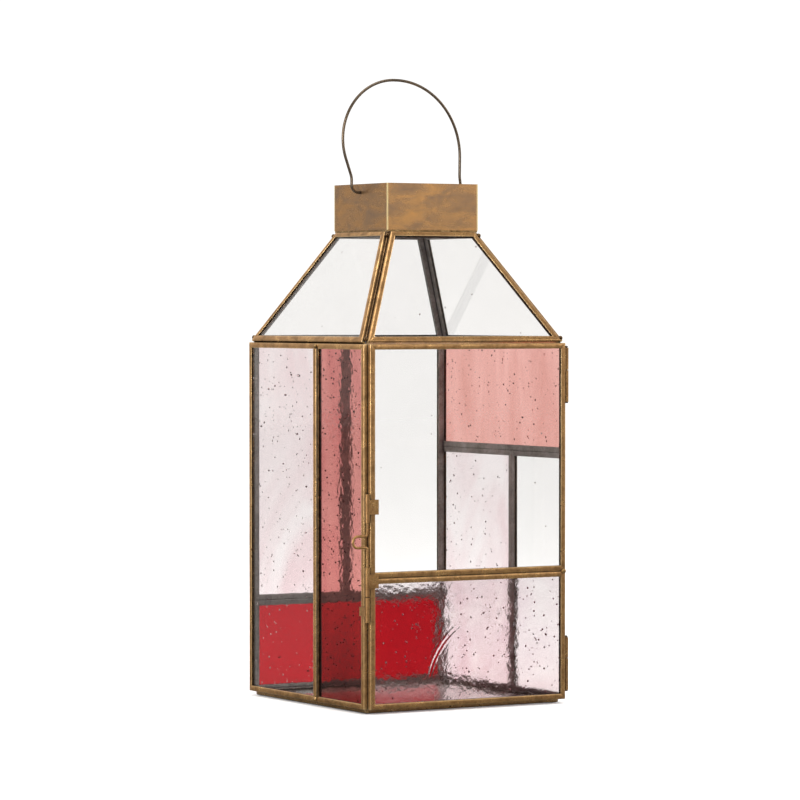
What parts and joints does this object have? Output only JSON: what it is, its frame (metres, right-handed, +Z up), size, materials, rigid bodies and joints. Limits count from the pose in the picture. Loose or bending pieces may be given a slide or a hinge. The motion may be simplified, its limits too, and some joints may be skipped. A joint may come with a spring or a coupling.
{
  "type": "candle lantern",
  "caption": "Square candle lantern of clear and coloured glass panes in brass channel, with a pyramid roof, open square collar, wire bail, hinged door and sliding bolt.",
  "frame": {"origin": "centre of the square base, on the surface that the lantern stands on", "axes": "+Z up; the door is on the -Y side and its hinges on the +X side"},
  "size_m": [0.1735, 0.1676, 0.4278],
  "materials": {
    "aged_brass": "aged satin with darker tarnish in the grooves and brighter rubbed edges",
    "collar_brass": "mottled brown patina on sheet, bright at the front edge",
    "wire_brass": "drawn wire, dull brown",
    "solder": "bright uneven beads",
    "clear_glass": "flat and clear",
    "clear_seedy_glass": "very faint pink, rippled, with small bubbles",
    "pale_pink_seedy_glass": "pale pink, wispy, with small bubbles",
    "coral_seedy_glass": "coral, rippled, with small bubbles",
    "red_glass": "deep red, transparent"
  },
  "bodies": {
    "lantern": {"back_lower_frame": "aged_brass", "back_lower_glass": "red_glass", "back_upper_left_frame": "aged_brass", "back_upper_left_glass": "pale_pink_seedy_glass", "back_upper_right_frame": "aged_brass", "back_upper_right_glass": "clear_glass", "base_frame": "aged_brass", "base_glass": "clear_glass", "body_solder": "solder", "collar": "collar_brass", "collar_solder": "solder", "latch_receiver": "aged_brass", "left_front_frame": "aged_brass", "left_front_glass": "coral_seedy_glass", "left_rear_frame": "aged_brass", "left_rear_glass": "clear_glass", "lower_hinge_body_knuckle": "aged_brass", "lower_hinge_pin": "wire_brass", "right_lower_front_frame": "aged_brass", "right_lower_front_glass": "clear_glass", "right_lower_rear_frame": "aged_brass", "right_lower_rear_glass": "pale_pink_seedy_glass", "right_upper_frame": "aged_brass", "right_upper_glass": "coral_seedy_glass", "roof_back_frame": "aged_brass", "roof_back_glass": "clear_glass", "roof_front_frame": "aged_brass", "roof_front_glass": "clear_glass", "roof_left_frame": "aged_brass", "roof_left_glass": "clear_glass", "roof_right_frame": "aged_brass", "roof_right_glass": "clear_glass", "roof_solder": "solder", "upper_hinge_body_knuckle": "aged_brass", "upper_hinge_pin": "wire_brass"},
    "door": {"door_lower_frame": "aged_brass", "door_lower_glass": "clear_seedy_glass", "door_solder": "solder", "door_upper_frame": "aged_brass", "door_upper_glass": "clear_glass", "latch_lower_sleeve": "aged_brass", "latch_upper_sleeve": "aged_brass", "lower_hinge_door_knuckle": "aged_brass", "upper_hinge_door_knuckle": "aged_brass"},
    "latch": {"latch_bolt": "wire_brass"},
    "bail": {"bail_handle": "wire_brass"}
  },
  "joints": [
    {"name": "door_hinge", "type": "hinge", "parent": "lantern", "child": "door", "pos_m": [0.0789, -0.0821, 0.124], "axis": [0, 0, 1], "range_deg": [0, 170]},
    {"name": "latch_slide", "type": "slide", "parent": "door", "child": "latch", "axis": [0, 0, 1], "range_m": [-0.0112, 0.0065]},
    {"name": "bail_pivot", "type": "hinge", "parent": "lantern", "child": "bail", "pos_m": [0, 0, 0.3492], "axis": [1, 0, 0], "range_deg": [-124, 124]}
  ]
}
